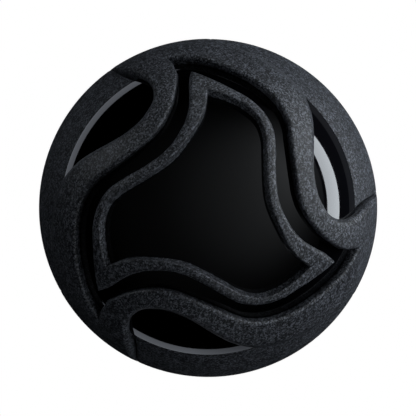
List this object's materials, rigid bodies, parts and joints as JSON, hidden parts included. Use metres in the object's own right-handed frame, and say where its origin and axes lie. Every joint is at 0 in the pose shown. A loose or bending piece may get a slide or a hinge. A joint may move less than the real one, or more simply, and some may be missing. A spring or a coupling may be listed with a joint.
{
  "type": "friction ball",
  "caption": "Palm-sized friction ball with a glossy hollow core, textured rubber ribs in a three-fold swirl on both faces, and a textured belt around its equator.",
  "frame": {"origin": "centre of the ball", "axes": "+Z through the front pole, along the three-fold axis; X and Y lie in the equator plane where the two shells meet"},
  "size_m": [0.07, 0.07, 0.0652],
  "materials": {
    "core_shell": "polished black, mirror-like",
    "rib_rubber": "fine sparkling charcoal grain",
    "belt_rubber": "fine sparkling charcoal grain",
    "fastener_steel": "turned steel",
    "insert_brass": "turned brass",
    "seal_rubber": "smooth black"
  },
  "bodies": {
    "root": {"front_core_shell": "core_shell", "rear_core_shell": "core_shell", "front_grip_web": "rib_rubber", "rear_grip_web": "rib_rubber", "front_trefoil_ring": "rib_rubber", "rear_trefoil_ring": "rib_rubber", "belt_pad_1": "belt_rubber", "belt_pad_2": "belt_rubber", "belt_pad_3": "belt_rubber", "shell_screw_1": "fastener_steel", "shell_screw_2": "fastener_steel", "shell_screw_3": "fastener_steel", "threaded_insert_1": "insert_brass", "threaded_insert_2": "insert_brass", "threaded_insert_3": "insert_brass", "dowel_pin_1": "fastener_steel", "dowel_pin_2": "fastener_steel", "dowel_pin_3": "fastener_steel", "seal_ring": "seal_rubber"}
  },
  "joints": []
}
